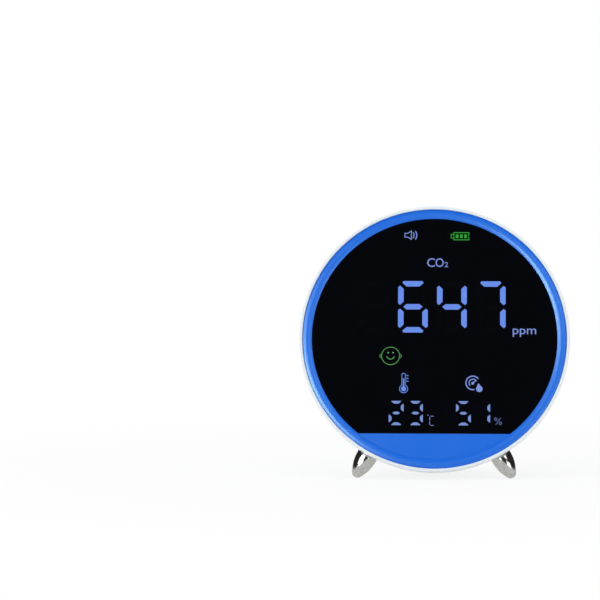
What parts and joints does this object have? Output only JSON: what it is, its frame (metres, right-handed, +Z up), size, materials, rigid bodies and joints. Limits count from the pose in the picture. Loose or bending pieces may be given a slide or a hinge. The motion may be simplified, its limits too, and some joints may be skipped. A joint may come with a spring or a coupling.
{
  "type": "air quality monitor",
  "caption": "Round desk-top air quality monitor that leans back on splayed legs, with a D-shaped smoked display, coloured front ring, vented back and push keys.",
  "frame": {"origin": "on the ground, under the middle of the object's bounding box", "axes": "+Z up, the display faces -Y and leans back 15 degrees, +X is to the viewer's right"},
  "size_m": [0.11, 0.0671, 0.1098],
  "materials": {
    "white_shell": "glossy white ABS",
    "blue_ring": "glossy pearl blue",
    "smoked_lens": "smoked acrylic, nearly black",
    "black_tape": "foam tape",
    "diffuser": "matt diffusing film",
    "light_box": "matt white",
    "led": "phosphor yellow",
    "green_board": "green solder mask",
    "black_part": "black moulded",
    "steel_screw": "plated steel",
    "flex_white": "flat flexible ribbon",
    "ivory_socket": "ivory nylon",
    "cell_foil": "laminated foil",
    "foam": "foam pad",
    "lead_red": "insulated wire",
    "lead_black": "insulated wire",
    "gold_can": "gold-plated can",
    "membrane": "porous membrane",
    "gauze": "fine black dust gauze",
    "key_white": "satin white",
    "socket_steel": "bright tin plate",
    "chrome_leg": "polished chrome",
    "clear_rubber": "translucent silicone"
  },
  "bodies": {
    "monitor": {"housing": "white_shell", "rear_cover": "white_shell", "front_bezel": "blue_ring", "lens": "smoked_lens", "lens_tape": "black_tape", "display_film": "diffuser", "display_reflector": "light_box", "display_leds": "led", "display_board": "green_board", "display_chips": "black_part", "display_screws": "steel_screw", "bezel_screws": "steel_screw", "main_board": "green_board", "main_board_screws": "steel_screw", "main_board_chips": "black_part", "ribbon_sockets": "ivory_socket", "ribbon_cable": "flex_white", "battery_cell": "cell_foil", "battery_pad": "foam", "battery_socket": "ivory_socket", "battery_lead_red": "lead_red", "battery_lead_black": "lead_black", "co2_sensor_pins": "black_part", "co2_sensor_board": "green_board", "co2_sensor_can": "gold_can", "co2_sensor_filter": "membrane", "climate_sensor": "black_part", "buzzer": "black_part", "usb_shell": "socket_steel", "usb_contacts": "black_part", "switch_bodies": "black_part", "vent_gauze": "gauze", "case_screws": "steel_screw", "left_leg": "chrome_leg", "right_leg": "chrome_leg", "leg_screws": "steel_screw", "rear_foot": "clear_rubber"},
    "power_key": {"power_button": "key_white", "power_plunger": "black_part"},
    "mode_key": {"mode_button": "key_white", "mode_plunger": "black_part"},
    "alarm_key": {"alarm_button": "key_white", "alarm_plunger": "black_part"}
  },
  "joints": [
    {"name": "power_key_press", "type": "slide", "parent": "monitor", "child": "power_key", "axis": [0, -0.9659, 0.2588], "range_m": [0, 0.0005], "stiffness_N_per_m": 1200, "springref_m": -0.0002},
    {"name": "mode_key_press", "type": "slide", "parent": "monitor", "child": "mode_key", "axis": [0, -0.9659, 0.2588], "range_m": [0, 0.0005], "stiffness_N_per_m": 1200, "springref_m": -0.0002},
    {"name": "alarm_key_press", "type": "slide", "parent": "monitor", "child": "alarm_key", "axis": [0, -0.9659, 0.2588], "range_m": [0, 0.0005], "stiffness_N_per_m": 1200, "springref_m": -0.0002}
  ]
}
